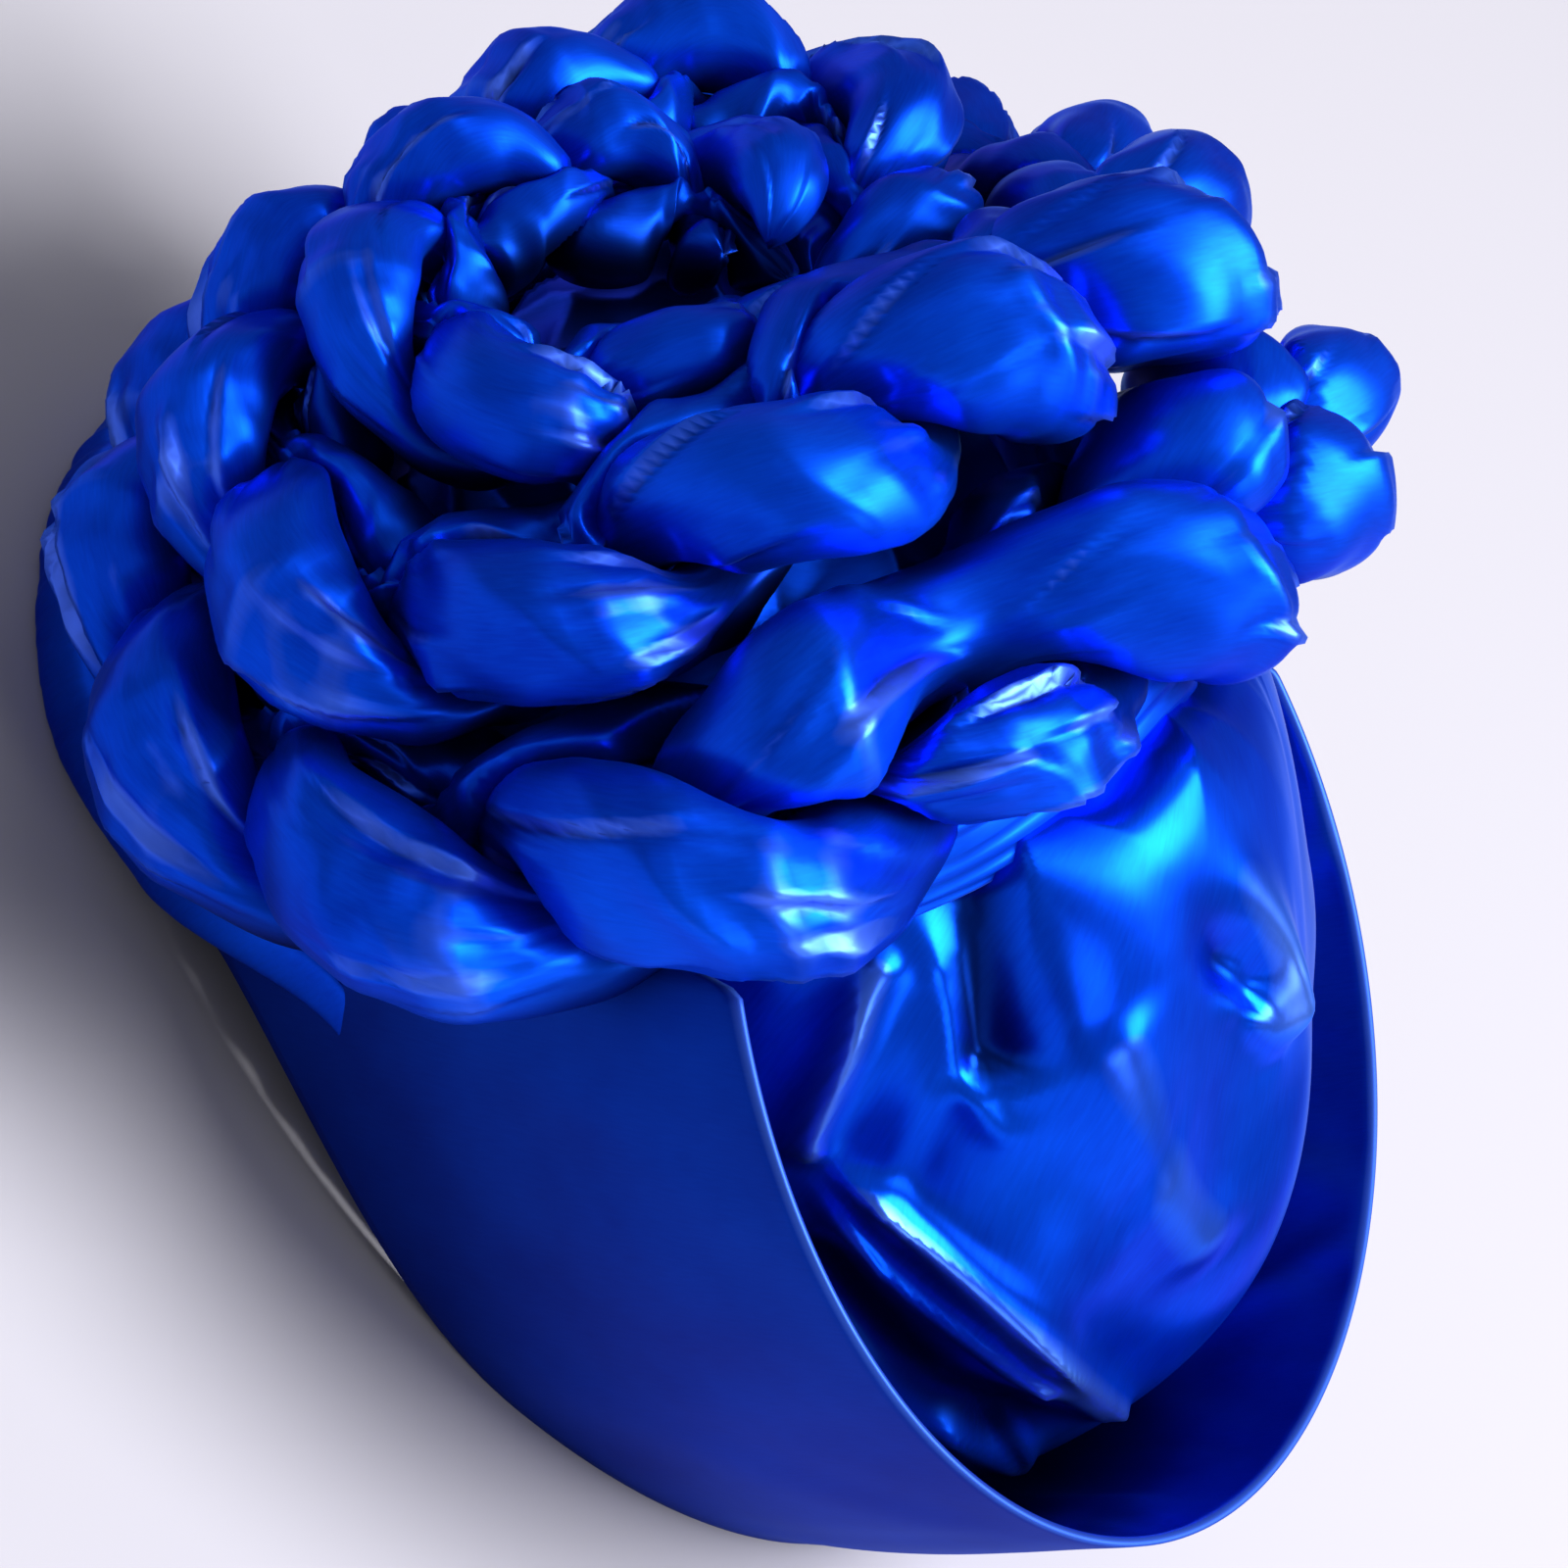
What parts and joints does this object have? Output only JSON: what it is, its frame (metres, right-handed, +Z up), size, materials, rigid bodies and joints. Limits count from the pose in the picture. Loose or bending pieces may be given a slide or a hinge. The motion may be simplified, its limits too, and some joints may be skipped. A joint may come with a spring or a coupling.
{
  "type": "satin turban cap",
  "caption": "Satin cap with a wide folded band flaring off a gathered crown, and a stuffed plait coiled into a rosette on top.",
  "frame": {"origin": "on the flat underside of the band, at its front centre, on the plane that the cap rests on", "axes": "+Z up, +Y from the front of the cap to its back, -X toward the wearer's right"},
  "size_m": [0.2075, 0.2149, 0.1472],
  "materials": {
    "band_satin": "dull satin",
    "crown_satin": "glossy satin",
    "plait_satin": "glossy satin"
  },
  "bodies": {
    "root": {"band": "band_satin", "back_hem": "crown_satin", "crown": "crown_satin", "strand_1": "plait_satin", "strand_2": "plait_satin", "strand_3": "plait_satin", "tucked_roll": "plait_satin"}
  },
  "joints": []
}
